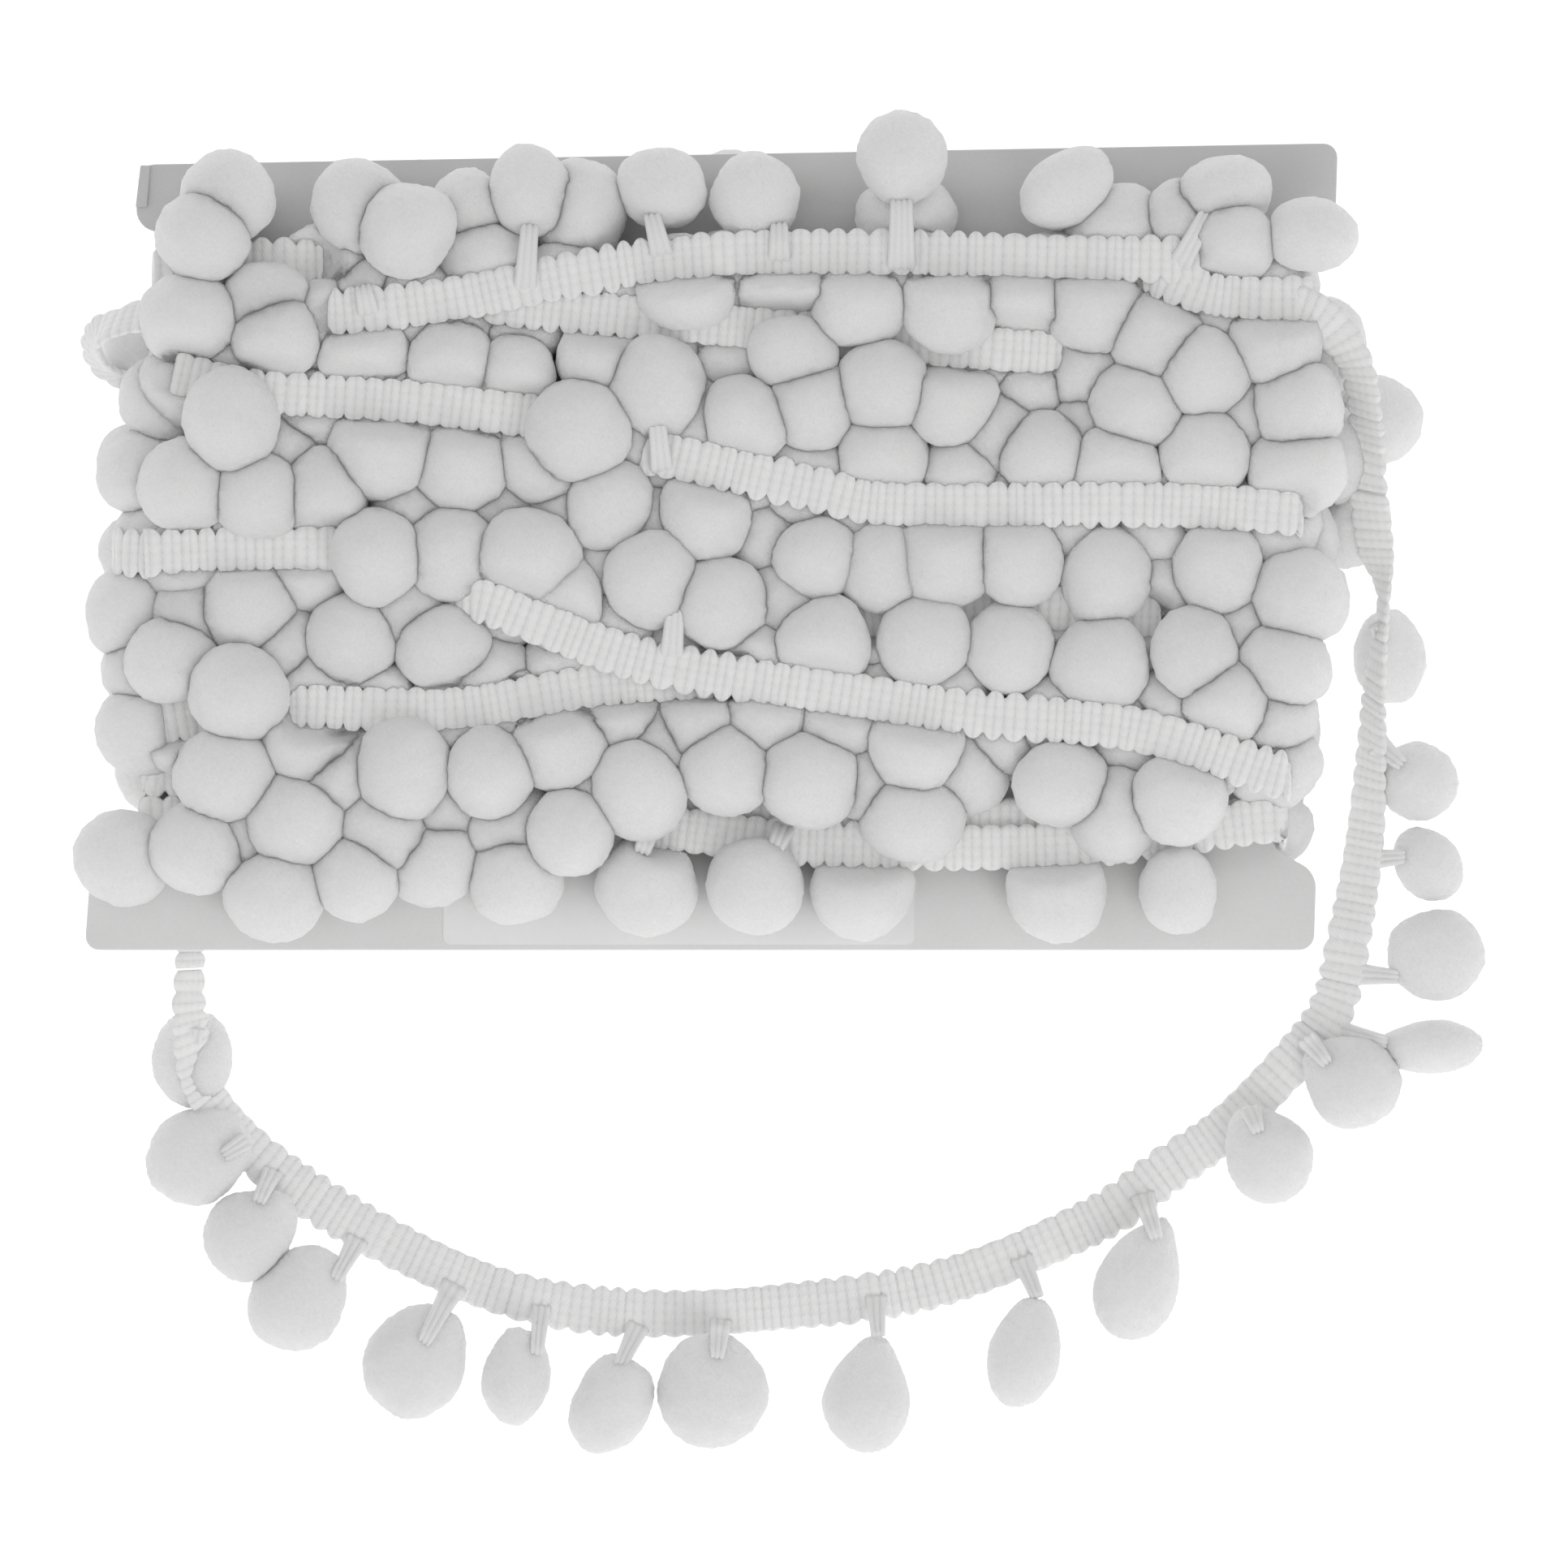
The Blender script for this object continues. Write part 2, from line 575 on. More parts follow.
def full_turn(number, top, line):
    """Rows for one turn: the band that shows, both edges and the back."""
    front = CARD_FRONT / MM
    height = front + top - TAPE_THICKNESS / MM / 2
    first, last = line[0], line[-1]
    rows = [(across, up, height, 0) for across, up in line]
    if first[0] > LEFT_EDGE + NEAR_EDGE:
        left_up = first[1] * 0.8 + 10
        rows.insert(0, (first[0] - FIRST_STEP, first[1], height - 6, 0))
        if first[0] - SECOND_STEP > LEFT_EDGE + 16:
            rows.insert(0, (first[0] - SECOND_STEP, (first[1] + left_up) / 2, front + HIDDEN_LIFT, 0))
        rows.insert(0, (LEFT_EDGE + 6, left_up, front + HIDDEN_LIFT, 0))
        left_edge = LEFT_EDGE
    else:
        left_up = first[1]
        left_edge = min(LEFT_EDGE, first[0] - 3)
    if last[0] < RIGHT_EDGE - NEAR_EDGE:
        right_up = last[1] * 0.8 + 10
        rows.append((last[0] + FIRST_STEP, last[1], height - 6, 0))
        if last[0] + SECOND_STEP < RIGHT_EDGE - 16:
            rows.append((last[0] + SECOND_STEP, (last[1] + right_up) / 2, front + HIDDEN_LIFT, 0))
        rows.append((RIGHT_EDGE - 6, right_up, front + HIDDEN_LIFT, 0))
        right_edge = RIGHT_EDGE
    else:
        right_up = last[1]
        right_edge = max(RIGHT_EDGE - 2, last[0] + 2)
    back = BACK_HEIGHTS[number % len(BACK_HEIGHTS)]
    middle = (CARD_FRONT + CARD_BACK) / 2 / MM
    right_top, left_top = rows[-1][2], rows[0][2]
    return rows + [
        (right_edge + 2.5, right_up - 0.5, (right_top + middle) / 2 + 2, 0),
        (right_edge + 2.5, right_up - 1.5, (back + middle) / 2, 0),
        (right_edge - 7, right_up - 3, back + 0.5, 0),
        (RIGHT_EDGE - 26, right_up - 5, back, 0),
        (LEFT_EDGE + 26, left_up + 4, back, 0),
        (left_edge + 7, left_up + 2, back + 0.5, 0),
        (left_edge - 2.5, left_up + 1, (back + middle) / 2, 0),
        (left_edge - 2.5, left_up + 0.5, (left_top + middle) / 2 + 2, 0),
        (rows[0][0] + 2.0, rows[0][1], left_top - 0.4, 0),
    ]


def wound_strip(rows, across, start):
    """One turn's tape and length. Its smooth curve is kept off the floor and close to the
    card's sides, and behind the card, where little shows, it has a third of the stations."""
    route, length = smooth_route(rows, FINE_STEP)
    left = notch_left(route[:, 1]) - SIDE_PLY
    if min(row[0] for row in rows) < LEFT_EDGE - 3:
        left = LEFT_REACH * MM
    right = notch_right(route[:, 1]) + SIDE_PLY
    route[:, 0] = np.clip(route[:, 0], left, right)
    route[:, 2] = np.maximum(route[:, 2], FLOOR_PLY)
    side, face = turn_frames(route)
    kept = (route[:, 2] > CARD_BACK) | (np.arange(len(route)) % 3 == 0)
    kept[-1] = True
    points, *rest = tape_strip(route[kept], (side[kept], face[kept]), across, distances(route, start)[kept])
    points[:, 2] = np.maximum(points[:, 2], 0.1 * MM)
    return (points, *rest), length


outer_turns = [full_turn(number, top, line) for number, (_, top, line) in enumerate(FRONT_TURNS)]
parts = []
wound_length = 0.0
for rows in outer_turns:
    strip, length = wound_strip(rows, 10, wound_length)
    parts.append(strip)
    wound_length += length
half = len(parts) // 2
wound_tape = mesh_piece("wound_tape_upper", parts[:half], TAPE, "tape")
wound_tape_lower = mesh_piece("wound_tape_lower", parts[half:], TAPE, "tape")
print("outer turns, in m:", round(wound_length, 2))

# %% Inner turns, which show only between pompoms
INNER_TURNS = 11
INNER_LIFT = 4.6
inner_parts = []
inner_length = 0.0
for number in range(INNER_TURNS):
    up = -7.5 + (106.0 + 7.5) * number / (INNER_TURNS - 1)
    slant = 2.0 * math.sin(number * 2.1)
    height = CARD_FRONT / MM + INNER_LIFT
    below = CARD_BACK / MM - INNER_LIFT
    rows = [
        (LEFT_EDGE + 1, up - slant, below, 0),
        (LEFT_EDGE - 1.5, up - slant, (height + below) / 2, 0),
        (LEFT_EDGE + 1, up - slant, height, 0),
        (-60, up - slant / 2, height + 0.8 * math.sin(number * 1.3), 0),
        (0, up + slant / 3, height + 0.8 * math.cos(number * 1.7), 0),
        (60, up + slant, height, 0),
        (RIGHT_EDGE - 3, up + slant, height, 0),
        (RIGHT_EDGE + 0.5, up + slant, (height + below) / 2, 0),
        (RIGHT_EDGE - 3, up + slant, below, 0),
    ]
    strip, length = wound_strip(rows, 6, inner_length)
    inner_parts.append(strip)
    inner_length += length
inner_tape = mesh_piece("inner_tape", inner_parts, TAPE, "tape")

# %% The slack turn at the left
# It stands more on its edge than its solid does, which shows its hollow from above
SLACK_EDGEWISE = 45
slack_rows = [(*place, SLACK_EDGEWISE + tilt / 3) for *place, tilt in SLACK_TURN]
slack_route, slack_length = smooth_route(slack_rows, FINE_STEP)
slack_tape = mesh_piece(
    "slack_turn",
    [tape_strip(slack_route, strand_frames(slack_route), FINE_ACROSS, distances(slack_route), True)],
    TAPE,
    "tape",
)

# %% [markdown]
# ## Pompoms
#
# A pompom starts as one ball, modelled once: a round primitive, pulled in a little at its
# tie and roughened by noise. Every pompom is a copy with a turn and a size of its own.
# Copies that touch are pressed against each other, as soft yarn is, by pushing back the
# points that cross the plane between two middles. A cloth simulation could press over
# three hundred balls too, but this rule does it in a second, the same way each run.

# %% One ball, modelled by hand
def select_nothing():
    """Deselect every object, because operators act on all that is selected."""
    if bpy.context.object and bpy.context.object.mode != "OBJECT":
        bpy.ops.object.mode_set(mode="OBJECT")
    bpy.ops.object.select_all(action="DESELECT")


def make_active(piece):
    """Select one piece alone, for an operator or a modifier."""
    select_nothing()
    piece.select_set(True)
    bpy.context.view_layer.objects.active = piece


def move_points(piece, wanted, shift, soft_reach=0.0):
    """Move only the points of the given numbers, in edit mode. Edges and faces are
    cleared too, because a face left selected selects its points again."""
    mesh = piece.data
    for part in (*mesh.polygons, *mesh.edges):
        part.select = False
    for vert in mesh.vertices:
        vert.select = vert.index in wanted
    bpy.context.tool_settings.mesh_select_mode = (True, False, False)
    bpy.ops.object.mode_set(mode="EDIT")
    if soft_reach:
        soft = {"use_proportional_edit": True, "proportional_size": soft_reach}
        bpy.ops.transform.translate(value=shift, proportional_edit_falloff="SMOOTH", **soft)
    else:
        bpy.ops.transform.translate(value=shift)
    bpy.ops.object.mode_set(mode="OBJECT")


def model_ball(levels):
    """A ball of radius 1 with a shallow dimple at its tie, as points and triangles."""
    select_nothing()
    bpy.ops.mesh.primitive_ico_sphere_add(subdivisions=levels, radius=1.0, location=(0, 0, 0))
    ball = bpy.context.object
    tie = {vert.index for vert in ball.data.vertices if vert.co.z > 0.99}
    move_points(ball, tie, (0, 0, -0.06), soft_reach=0.5)
    points = np.array([vert.co[:] for vert in ball.data.vertices])
    triangles = np.array([face.vertices[:] for face in ball.data.polygons])
    mesh = ball.data
    bpy.data.objects.remove(ball)
    bpy.data.meshes.remove(mesh)
    return points, triangles


FINE_BALL = model_ball(5)
PLAIN_BALL = model_ball(4)
print("points on a fine ball:", len(FINE_BALL[0]))

# %% Every pompom's place
dice = np.random.default_rng(11)
front_middles = np.array([
    (*centre, CARD_FRONT / MM + lift) for _, lift, centres in FRONT_COURSES for centre in centres
]) * MM
side_middles = np.array([
    (*centre, height) for _, height, centres in SIDE_COURSES for centre in centres
]) * MM

BACK_LEFT = -114.0 * MM
BACK_RIGHT = 96.0 * MM
BACK_LOW = -19.0 * MM
BACK_HIGH = 119.0 * MM
BACK_COURSES = 9
BACK_PER_COURSE = 11
BACK_CENTRE = 8.4 * MM
BACK_STRAY = 2.2 * MM
stray = random.Random(7)
back_middles = []
for course in range(BACK_COURSES):
    up = BACK_LOW + (BACK_HIGH - BACK_LOW) * course / (BACK_COURSES - 1)
    pitch = (BACK_RIGHT - BACK_LEFT) / (BACK_PER_COURSE - 0.5)
    for place in range(BACK_PER_COURSE):
        across = BACK_LEFT + pitch * (place + 0.5 * (course % 2))
        back_middles.append((
            across + stray.uniform(-BACK_STRAY, BACK_STRAY),
            up + stray.uniform(-BACK_STRAY, BACK_STRAY),
            BACK_CENTRE,
        ))
back_middles = np.array(back_middles)

# %% Deeper pompoms, wherever the front courses leave a gap
FILL_LIFT = 8.8
FILL_ROOM = 9.6
FILL_LOW = -8.0
# Places where tape shows between the pompoms: across, up and reach
TAPE_WINDOWS = (
    (-53, 24, 9), (-44, 47, 8), (-112, 109, 9), (-100, 22, 5), (-20, -6, 9), (-2, -6, 9), (14, -7, 9),
    (42, -8, 12), (60, -11, 9), (96, -6, 10), (-105, 108, 9), (18, 109, 8), (74, 36, 5), (-10, 94, 5),
)


def gap_middles():
    """Middles of pompoms for the widest gaps, each found in turn on a fine grid."""
    across, up = np.meshgrid(np.arange(-122.0, 101.0, 2.0), np.arange(FILL_LOW, 106.0, 2.0))
    grid = np.column_stack([across.ravel(), up.ravel()])
    for where_across, where_up, reach in TAPE_WINDOWS:
        grid = grid[np.hypot(grid[:, 0] - where_across, grid[:, 1] - where_up) > reach]
    taken = front_middles[:, :2] / MM
    found = []
    while True:
        apart = grid[:, None] - taken[None]
        room = np.hypot(apart[..., 0], apart[..., 1]).min(axis=1)
        widest = room.argmax()
        if room[widest] < FILL_ROOM:
            return np.array(found)
        found.append((grid[widest, 0] * MM, grid[widest, 1] * MM, CARD_FRONT + FILL_LIFT * MM))
        taken = np.vstack([taken, grid[widest]])


BESIDE_STRAND = (112.5 * MM, 67.5 * MM, 22.0 * MM)
fill_middles = np.vstack([gap_middles(), BESIDE_STRAND])
front_middles = np.vstack([front_middles, fill_middles])
front_middles[:, 2] += dice.uniform(-1.8, 0.9, len(front_middles)) * MM
middles = np.vstack([front_middles, side_middles, back_middles])
radii = POMPOM_RADIUS * (1 + dice.uniform(-0.03, 0.05, len(middles)))
# Pompoms seen whole, whose size differs from the rest: across, up and their share of it
OWN_SIZES = (
    (-52, 121, 0.91), (-25, 122, 0.91), (-6, 120, 0.94), (24, 128, 0.97), (-65, 117.5, 0.86),
    (-87, 118, 0.98), (16, -22, 1.07), (56, -22, 1.05), (81, -22, 0.91), (-28, -21, 1.02),
    (-44, -10, 0.95), (92.5, 110, 0.95), (108, 112, 0.95), (-119, 111.5, 0.96), (2, 88, 0.95),
    (57, 0, 0.96), (-104, 91, 0.98), (-86, 88, 0.95), (-68, 86, 0.95), (-55, 83, 0.93), (-38, 87, 0.95),
)
# Pompoms with close neighbours all round bulge, since their yarn has nowhere else to go
crowd = (np.linalg.norm(front_middles[:, None] - front_middles[None], axis=2) < 17.5 * MM).sum(axis=1) - 1
radii[:len(front_middles)] *= 1 + 0.009 * np.clip(crowd, 0, 6)
for across, up, share in OWN_SIZES:
    own = np.linalg.norm(middles[:, :2] - np.array((across, up)) * MM, axis=1).argmin()
    radii[own] = POMPOM_RADIUS * share
print("deeper pompoms:", len(fill_middles), "pompoms in the winding:", len(middles))


# %% Roughness, pressing and resting
def lumps(points, size, seed):
    """Smooth noise from -1 to 1 at each point, made of crossed waves."""
    waves = np.random.default_rng(seed)
    total = np.zeros(len(points))
    for _ in range(7):
        heading = unit(waves.normal(size=3))
        pitch = (2 * math.pi / size) * waves.uniform(0.7, 1.4)
        total += np.sin(points @ heading * pitch + waves.uniform(0, 6.3))
    return total / 3.2


def turned(points, seed):
    """The ball turned any way round."""
    turn = Quaternion(unit(np.random.default_rng(seed).normal(size=4)))
    return points @ np.array(turn.to_matrix()).T


def soft_limit(excess, soft):
    """How far to push a point back: none below the plane, all of it well past it."""
    scaled = np.clip(excess / soft, -30, 30)
    return soft * np.log1p(np.exp(scaled))


def fluffy(points, radius, seed, any_way=True):
    """A ball's points at real size with the uneven surface of cut yarn."""
    ball = turned(points, seed) if any_way else points[:, [2, 1, 0]] * (-1, 1, 1)
    own = np.random.default_rng(seed + 3)
    stretch = 1 + own.uniform(-0.07, 0.07, 3)
    swell = 1 + 0.05 * lumps(ball, 1.7, seed + 1) + 0.013 * lumps(ball, 0.42, seed + 2)
    grain = 1 + 0.018 * own.uniform(-1, 1, len(ball))
    return ball * (radius * swell * grain)[:, None] * stretch


PRESS_SOFTNESS = 1.0 * MM


def press_neighbours(points, index):
    """Flatten a pompom where it meets the others."""
    middle = middles[index]
    own = np.random.default_rng(4000 + index)
    away = middles - middle
    far = np.linalg.norm(away, axis=1)
    reach = radii + radii[index]
    for other in np.nonzero((far > 1e-6) & (far < reach))[0]:
        heading = away[other] / far[other]
        limit = far[other] / 2 + (radii[index] ** 2 - radii[other] ** 2) / (2 * far[other])
        limit = max(limit, 0.45 * radii[index]) + own.uniform(1.5, 3.0) * MM
        excess = (points - middle) @ heading - limit
        points = points - heading * soft_limit(excess, PRESS_SOFTNESS)[:, None]
    return points


band_routes = []
for _, top, line in FRONT_TURNS:
    rows = [(across, up, 0, 0) for across, up in line]
    band_routes.append((smooth_route(rows, 2.0 * MM)[0][:, :2], CARD_FRONT + top * MM))


def press_bands(points, middle):
    """Push a pompom down where a tighter band of tape crosses it."""
    for line, top in band_routes:
        near = np.linalg.norm(line - middle[:2], axis=1).min()
        if middle[2] > top or near > POMPOM_RADIUS + TAPE_WIDTH / 2:
            continue
        apart = np.linalg.norm(points[:, None, :2] - line[None], axis=2).min(axis=1)
        ceiling = top - TAPE_THICKNESS * 0.6 + np.clip(apart - TAPE_WIDTH * 0.42, 0, None) * 2.6
        points[:, 2] -= soft_limit(points[:, 2] - ceiling, 0.9 * MM)
    return points


print("pressing rules are ready")


# %% The wound pompoms
# Pompoms that lie slanted and squeezed: across, up, slant in degrees, and the share of
# the width that is left across the slant
SLANTED = ((58, 122, 36, 0.74), (108, 112, 8, 0.86), (90, 120.5, 10, 0.84))


def squeeze(shape, middle):
    """Narrow the few pompoms that lie slanted."""
    for across, up, slant, share in SLANTED:
        if np.linalg.norm(middle[:2] - np.array((across, up)) * MM) < 0.1 * MM:
            angle = math.radians(slant + 90)
            beside = np.array((math.cos(angle), math.sin(angle), 0.0))
            shape = shape - beside * ((shape @ beside) * (1 - share))[:, None]
    return shape


def wound_ball(index, ball):
    """One pompom of the winding, as a part for mesh_piece."""
    points, triangles = ball
    middle = middles[index]
    shape = squeeze(fluffy(points, radii[index], 100 + index), middle) + middle
    shape = press_neighbours(shape, index)
    front = index < len(front_middles)
    if front:
        shape = press_bands(shape, middle)
        over_card = (
            (shape[:, 0] > card_low.x) & (shape[:, 0] < card_high.x)
            & (shape[:, 1] > card_low.y) & (shape[:, 1] < card_high.y)
        )
        lowest = np.where(over_card, CARD_FRONT + 0.2 * MM, CARD_FRONT - 6 * MM)
        shape[:, 2] = np.maximum(shape[:, 2], lowest)
    else:
        shape[:, 2] = np.maximum(shape[:, 2], 0.0)
    if index >= len(front_middles) + len(side_middles):
        shape[:, 2] = np.minimum(shape[:, 2], CARD_BACK - 0.2 * MM)
    return shape, triangles, [], np.zeros((len(shape), 2))


def wound_piece(name, ball, numbers):
    """The pompoms of the given numbers as one piece."""
    return mesh_piece(name, [wound_ball(index, ball) for index in numbers], YARN)


FRONT_SPLIT = 45.0 * MM
front_count = len(front_middles)
side_count = front_count + len(side_middles)
is_low = front_middles[:, 1] < FRONT_SPLIT
front_lower = wound_piece("front_pompoms_lower", PLAIN_BALL, np.flatnonzero(is_low))
front_upper = wound_piece("front_pompoms_upper", PLAIN_BALL, np.flatnonzero(~is_low))
side_pompoms = wound_piece("side_pompoms", PLAIN_BALL, range(front_count, side_count))
back_pompoms = wound_piece("back_pompoms", model_ball(3), range(side_count, len(middles)))


# %% The loose pompoms
def loose_ball(row, seed):
    """A pompom of the strand, narrowed to its stem and pressed by the floor."""
    across, up, length, width, height, turn, taper = row
    heading = np.array((math.cos(math.radians(turn)), math.sin(math.radians(turn)), 0.0))
    beside = np.array((-heading[1], heading[0], 0.0))
    points, triangles = FINE_BALL
    ball = fluffy(points, 1.0, seed, any_way=False)
    share = ball[:, 0]
    narrow = 1 - 1.5 * taper * np.clip((0.4 - share) / 1.4, 0, 1) ** 1.6 + taper * 0.1
    shape = (
        heading * (share * length / 2 * MM)[:, None]
        + beside * (ball[:, 1] * narrow * width / 2 * MM)[:, None]
        + np.array((0, 0, 1.0)) * (ball[:, 2] * narrow * height / 2 * MM)[:, None]
    )
    shape += np.array((across, up, height * 0.46)) * MM
    shape[:, 2] = np.maximum(shape[:, 2], 0.0)
    return shape, triangles, [], np.zeros((len(shape), 2))


loose_pompoms = mesh_piece("loose_pompoms", [
    loose_ball(row, 700 + number) for number, row in enumerate(LOOSE_POMPOMS)
], YARN)

# %% [markdown]
# ## Stems
#
# Each pompom hangs on a few threads that leave the tape's edge side by side, spread out
# like a fan at the tape and drawn together at the pompom. Side by side they make a flat
# strap, so each stem is one strip whose top has a rounded ridge for every thread. On some
# pompoms it runs on over the face, and there it follows the pompom's top.


# %% Straps of threads
STRAP_PARTS = 12
STRAP_ACROSS = 12
STRAP_THICKNESS = 1.3 * MM


def strap(line, wide, narrow, threads):
    """A stem along a line of points, as a part for mesh_piece."""
    along = unit(np.gradient(line, axis=0))
    beside = unit(np.cross(along, (0.0, 0.0, 1.0)))
    face = np.cross(beside, along)
    share = np.linspace(0, 1, len(line))[:, None]
    half_width = (wide + (narrow - wide) * share ** 0.6) / 2
    spread = np.linspace(-1, 1, STRAP_ACROSS + 1)[None, :]
    ridges = np.abs(np.cos(spread * threads * math.pi / 2 + (threads % 2 - 1) * math.pi / 2))
    rise = STRAP_THICKNESS * (0.45 + 0.3 * ridges ** 0.7) * np.sqrt(1 - spread ** 8)
    rise = np.repeat(rise, len(line), axis=0)
    low_spread = np.array([[0.6, -0.6]])
    low_rise = np.full((len(line), 2), -STRAP_THICKNESS * 0.35)
    offsets = np.hstack([spread * half_width, low_spread * half_width])
    heights = np.hstack([rise, low_rise])
    ring = offsets.shape[1]
    points = line[:, None] + beside[:, None] * offsets[..., None] + face[:, None] * heights[..., None]
    return points.reshape(-1, 3), *tube_faces(len(line), ring), np.zeros((len(line) * ring, 2))


def pompom_top(place, row):
    """How high the top of a loose pompom is at a place, or nothing beside it."""
    across, up, length, width, height, turn, _ = row
    heading = np.array((math.cos(math.radians(turn)), math.sin(math.radians(turn))))
    off = place - np.array((across, up)) * MM
    ahead = (off @ heading) / (length / 2 * MM)
    aside = (off @ np.array((-heading[1], heading[0]))) / (width / 2 * MM)
    inside = np.clip(1 - ahead ** 2 - aside ** 2, 0, 1)
    return np.where(inside > 0, height * MM * (0.46 + 0.5 * np.sqrt(inside)), 0.0)


# %% The loose strand's stems
# One for each loose pompom: root on the tape, end on the pompom, and width at the root
LOOSE_STEMS = (
    (121.5, 33.0, 123.0, 30.0, 3.0), (122.0, 8.5, 127.5, 4.0, 6.0),
    (120.5, -15.3, 127.8, -14.8, 5.0), (117.5, -38.8, 126.5, -39.5, 5.5),
    (114.0, -50.5, 124.0, -53.0, 5.0), (108.0, -52.5, 111.5, -57.0, 5.0),
    (96.0, -67.0, 97.5, -71.0, 5.0), (74.0, -84.5, 76.5, -93.0, 5.5),
    (49.0, -97.5, 52.2, -105.5, 5.0), (19.0, -105.5, 19.4, -113.5, 5.0),
    (-13.0, -110.5, -13.8, -118.0, 5.0), (-30.0, -111.5, -34.0, -120.0, 5.0),
    (-50.0, -107.5, -50.9, -117.0, 4.2), (-68.0, -103.0, -74.2, -114.9, 5.8),
    (-88.0, -93.5, -92.2, -101.6, 5.2), (-105.5, -79.5, -108.0, -85.5, 5.0),
    (-111.0, -73.5, -115.0, -76.0, 4.5), (-121.0, -50.0, -121.5, -53.0, 4.0),
)
stems = []
for row, (root_across, root_up, end_across, end_up, wide) in zip(LOOSE_POMPOMS, LOOSE_STEMS):
    share = np.linspace(0, 1, STRAP_PARTS + 1)[:, None]
    root, end = np.array((root_across, root_up)) * MM, np.array((end_across, end_up)) * MM
    line = np.hstack([root + (end - root) * share, np.zeros((STRAP_PARTS + 1, 1))])
    station = np.linalg.norm(whole_strand[:, :2] - root, axis=1).argmin()
    tape_top = whole_strand[station, 2] + TAPE_THICKNESS * 0.35
    end_top = pompom_top(end[None], row)[0]
    line[:, 2] = tape_top + (end_top - tape_top) * share[:, 0] ** 1.5
    line[:, 2] = np.maximum(line[:, 2], pompom_top(line[:, :2], row)) + 0.1 * MM
    line[1:-1, 2] = (line[:-2, 2] + line[1:-1, 2] * 2 + line[2:, 2]) / 4
    line[-2:, 2] -= np.array((0.5, 1.6)) * MM
    stems.append(strap(line, wide * MM, 2.9 * MM, 3))
loose_stems = mesh_piece("loose_stems", stems, THREAD)

# %% Stems that show on the winding
# End and root, each across, up and height over the card, then how many threads
FRONT_STEMS = (
    (24, 119, 21, 24, 105, 17.6, 4), (-52, 114, 18, -53, 101, 17.6, 3),
    (-26, 74, 21, -25, 64, 18.6, 3), (-1, 114, 17, -1, 107, 17.6, 3),
    (87, 117, 18, 81, 106, 17.6, 3), (35, 93, 17, 35, 88, 15.6, 3), (-22, 38, 20, -23, 26, 18.6, 3),
    (-27, 116, 17, -25, 108, 17.6, 3), (-29, -14, 14, -27, -8, 8.6, 3),
    (-2, -14, 14, 0, -9, 8.6, 3), (-86, 101, 19, -85, 96, 17.6, 3),
)
front_stems = []
for end_across, end_up, end_lift, root_across, root_up, root_lift, threads in FRONT_STEMS:
    share = np.linspace(0, 1, STRAP_PARTS + 1)[:, None]
    end = np.array((end_across, end_up, CARD_FRONT / MM + end_lift)) * MM
    root = np.array((root_across, root_up, CARD_FRONT / MM + root_lift)) * MM
    line = root + (end - root) * share
    line[:, 2] += 1.2 * MM * np.sin(share[:, 0] * math.pi) - 0.6 * MM
    line[[0, -1], 2] -= 1.2 * MM
    front_stems.append(strap(line, (1.3 * threads + 1.2) * MM, (1.0 * threads + 0.6) * MM, threads))
wound_stems = mesh_piece("wound_stems", front_stems, THREAD)

# %% [markdown]
# ## The card and its sticker
#
# The card is folded paper board with a notch in each short side. A block of the card's
# size is cut by one block at each end, as a maker's die would, and its corners and edges
# are bevelled. Its lower band carries a sticker, which is bare here.

# %% Card board finish
def board_finish():
    paint = Paint("card board", 0.7)
    fibres = paint.noise(0.8 * MM, 4.0)
    clouds = paint.noise(30.0 * MM, 3.0)
    up = paint.axis(paint.place(), "Y")
    tone = fibres * 0.35 + clouds * 0.65 + 0.05 - up * 4.0
    colour = paint.mix(tone, (0.69, 0.69, 0.69), (0.86, 0.86, 0.855))
    return paint.wear(colour, normal=paint.bump(fibres, 0.1 * MM, 0.25))


def sticker_finish():
    paint = Paint("sticker paper", 0.45)
    fibres = paint.noise(1.5 * MM, 3.0)
    colour = paint.mix(fibres, (0.88, 0.88, 0.88), (0.92, 0.92, 0.915))
    return paint.wear(colour, normal=paint.bump(fibres, 0.05 * MM, 0.2))


# %% Card: a block cut by two notches
# The block's four corners, then each notch's four, outermost first, in mm
BLANK = ((-143.6, -34.1), (108.8, -34.1), (113.8, 131.7), (-132.4, 127.3))
LEFT_NOTCH = ((-160.0, -31.6), (-129.5, -5.5), (-126.5, 112.5), (-160.0, 125.1))
RIGHT_NOTCH = ((100.0, -13.0), (125.0, -26.9), (125.0, 122.6), (106.0, 112.5))
CORNER_ROUNDING = 3.0 * MM


def four_cornered_block(name, corners, low, high):
    """A cube whose upright edges are moved, in edit mode, to four corners."""
    select_nothing()
    bpy.ops.mesh.primitive_cube_add(size=1.0, location=(0, 0, 0))
    block = bpy.context.object
    block.name = name
    starts = [vert.co.copy() for vert in block.data.vertices]
    around = ((-0.5, -0.5), (0.5, -0.5), (0.5, 0.5), (-0.5, 0.5))
    for (across, up), (cube_across, cube_up) in zip(corners, around):
        for cube_level, level in ((-0.5, low), (0.5, high)):
            cube_corner = Vector((cube_across, cube_up, cube_level))
            wanted = {index for index, start in enumerate(starts) if (start - cube_corner).length < 0.01}
            move_points(block, wanted, Vector((across * MM, up * MM, level)) - cube_corner)
    return block


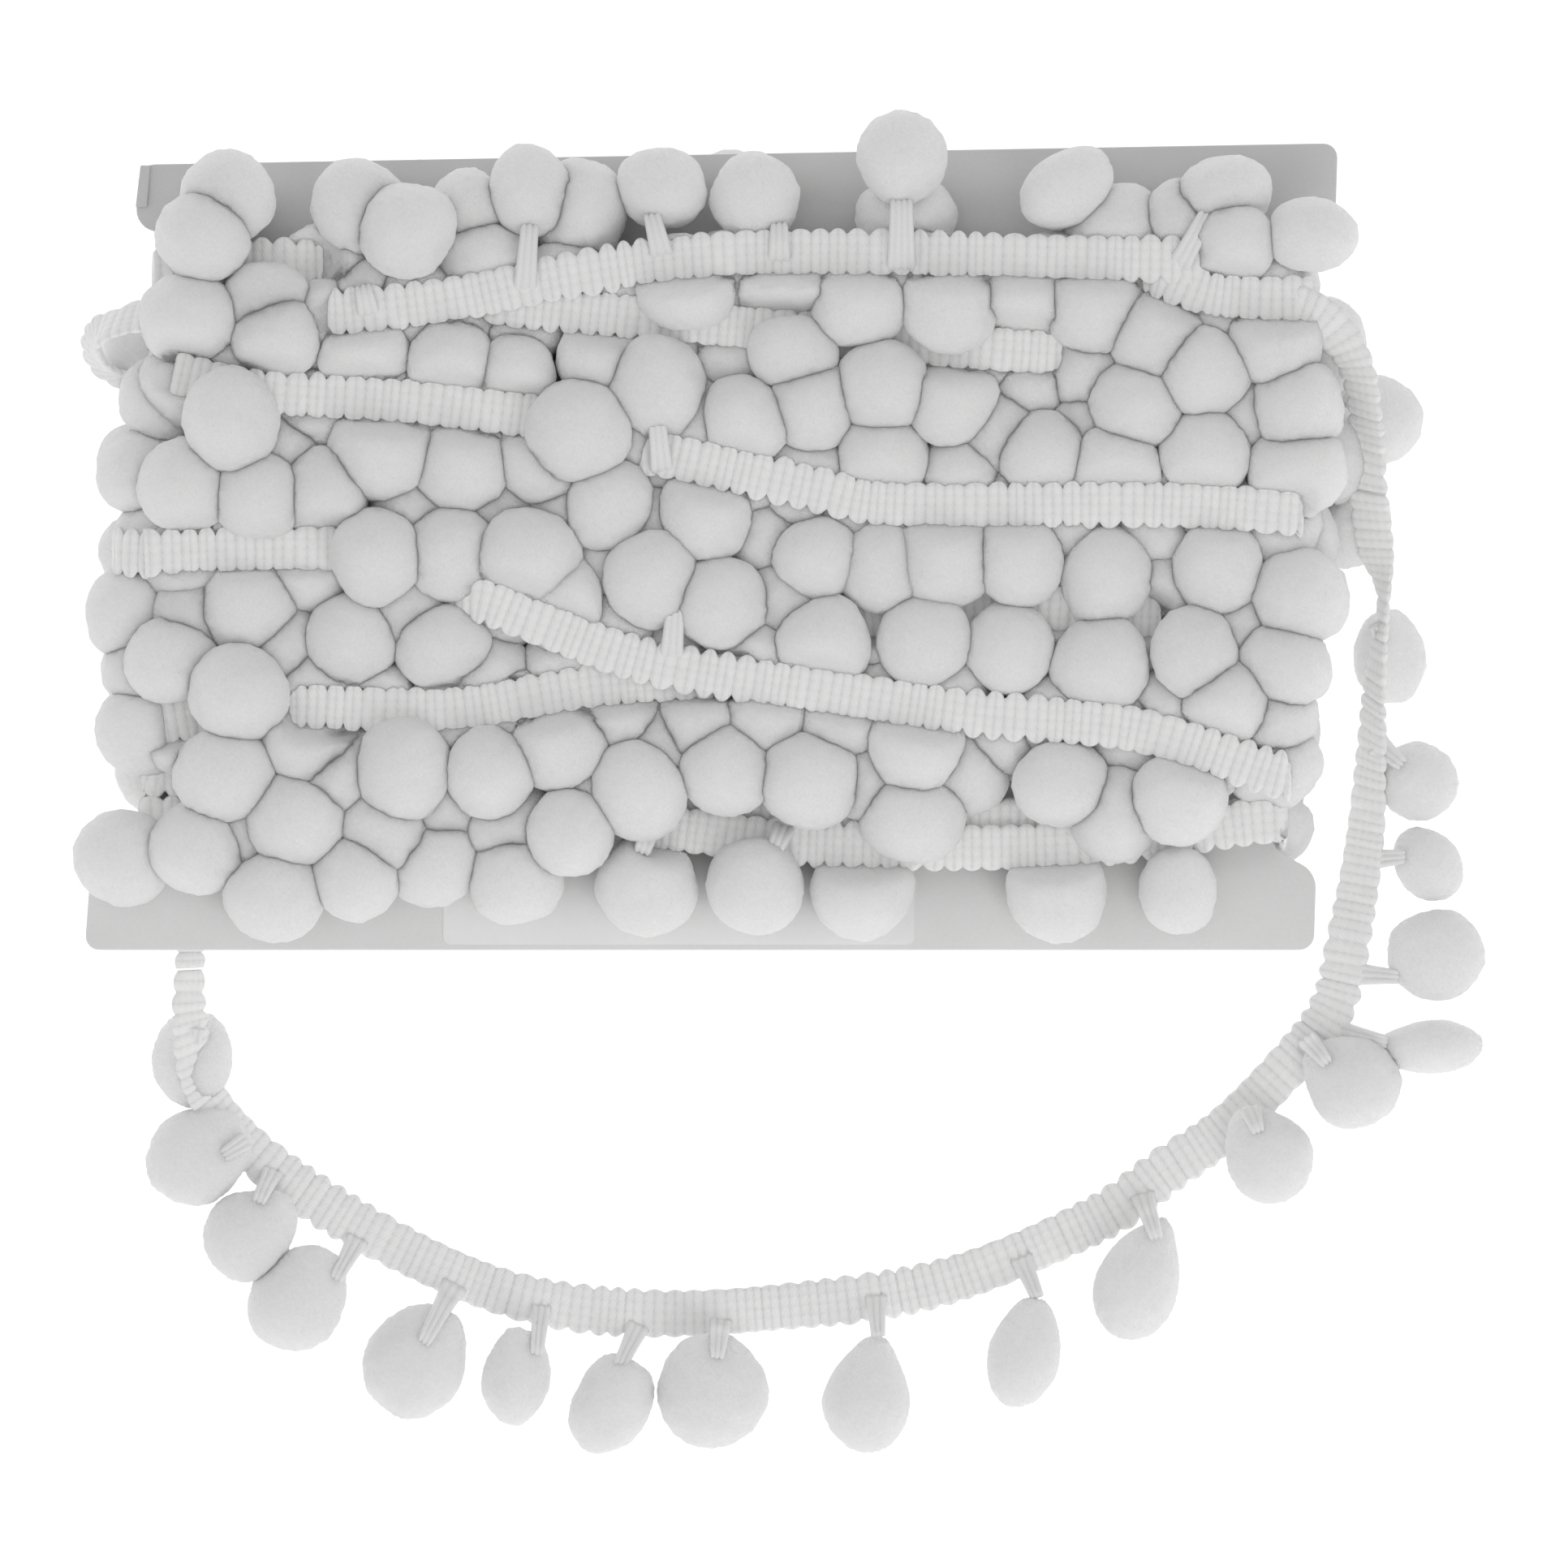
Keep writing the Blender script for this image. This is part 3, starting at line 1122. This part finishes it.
def cut_away(piece, cutter):
    """Cut one block out of another, and throw the cutter away."""
    make_active(piece)
    cut = piece.modifiers.new("Notch", "BOOLEAN")
    cut.operation = "DIFFERENCE"
    cut.solver = "EXACT"
    cut.object = cutter
    bpy.ops.object.modifier_apply(modifier=cut.name)
    mesh = cutter.data
    bpy.data.objects.remove(cutter)
    bpy.data.meshes.remove(mesh)


def round_upright_edges(piece, width):
    """Bevel every upright edge, which rounds the outline's corners."""
    mesh = piece.data
    for part in (*mesh.polygons, *mesh.edges, *mesh.vertices):
        part.select = False
    for edge in mesh.edges:
        first, last = (mesh.vertices[index].co for index in edge.vertices)
        edge.select = (first.xy - last.xy).length < 0.01 * MM
    make_active(piece)
    bpy.context.tool_settings.mesh_select_mode = (False, True, False)
    bpy.ops.object.mode_set(mode="EDIT")
    bpy.ops.mesh.bevel(offset=width, segments=5)
    bpy.ops.object.mode_set(mode="OBJECT")


def soften_edges(piece, width):
    """A small bevel on the sharp edges that are left, and smooth shading."""
    make_active(piece)
    rim = piece.modifiers.new("Rim", "BEVEL")
    rim.width = width
    rim.segments = 2
    rim.limit_method = "ANGLE"
    rim.angle_limit = math.radians(50)
    bpy.ops.object.modifier_apply(modifier=rim.name)
    bpy.ops.object.shade_smooth_by_angle(angle=math.radians(40))


card_board = four_cornered_block("card_board", BLANK, CARD_BACK, CARD_FRONT)
for notch in (LEFT_NOTCH, RIGHT_NOTCH):
    cutter = four_cornered_block("notch", notch, CARD_BACK - 5 * MM, CARD_FRONT + 5 * MM)
    cut_away(card_board, cutter)
round_upright_edges(card_board, CORNER_ROUNDING)
soften_edges(card_board, 0.25 * MM)
card_board.data.materials.append(board_finish())
corners = np.array([vert.co[:] for vert in card_board.data.vertices])
print("card from", (corners.min(axis=0) / MM).round(1), "to", (corners.max(axis=0) / MM).round(1))

# %% The turned lip at the card's upper left end
LIP = ((-130.9, 118.5), (-130.2, 127.1), (-132.2, 127.1), (-133.2, 118.5))
lip = four_cornered_block("card_lip", LIP, CARD_FRONT + 0.1 * MM, CARD_FRONT + 0.9 * MM)
soften_edges(lip, 0.2 * MM)
lip.data.materials.append(card_board.data.materials[0])

# %% Sticker
STICKER = ((-70.0, -33.0), (26.8, -33.0), (26.8, -14.0), (-70.0, -14.0))
sticker = four_cornered_block("sticker", STICKER, CARD_FRONT + 0.02 * MM, CARD_FRONT + 0.22 * MM)
round_upright_edges(sticker, 1.6 * MM)
soften_edges(sticker, 0.06 * MM)
sticker.data.materials.append(sticker_finish())
print("sticker faces:", len(sticker.data.polygons))

# %% Floor
select_nothing()
bpy.ops.mesh.primitive_plane_add(size=6.0, location=(0, 0, 0))
floor = bpy.context.object
floor.name = "floor"
floor_paint = Paint("studio floor", 0.9)
floor_paint.shader.inputs["Emission Color"].default_value = (1.0, 1.0, 1.0, 1.0)
floor_paint.shader.inputs["Emission Strength"].default_value = 0.50
floor_tone = floor_paint.noise(0.4, 2.0)
floor_colour = floor_paint.mix(floor_tone, (0.93, 0.93, 0.93), (0.95, 0.95, 0.95))
floor.data.materials.append(floor_paint.wear(floor_colour))

# %% [markdown]
# ## What stands for what
#
# Every piece rides on the one body, and names the solid that it takes the place of. Tapes
# are declared as sheets with the size they were woven to.

# %% Declarations
wound_pieces = (
    wound_tape, wound_tape_lower, inner_tape, slack_tape, leaving_tape, returning_tape, wound_stems,
    front_lower, front_upper, side_pompoms, back_pompoms,
)
for piece in wound_pieces:
    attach(piece, "root")
    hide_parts("wound_trim")
for piece in (loose_tape, loose_pompoms, loose_stems):
    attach(piece, "root")
    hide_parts("loose_trim")
for piece in (card_board, lip, sticker):
    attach(piece, "root")
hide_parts("card")

upper_length = sum(smooth_route(rows, MM)[1] for rows in outer_turns[:half])
lower_length = wound_length - upper_length
for tape, length in (
    (wound_tape, upper_length), (wound_tape_lower, lower_length), (inner_tape, inner_length),
    (slack_tape, slack_length), (leaving_tape, leaving_length), (returning_tape, returning_length),
):
    print(tape.name, "length in mm:", round(length / MM))
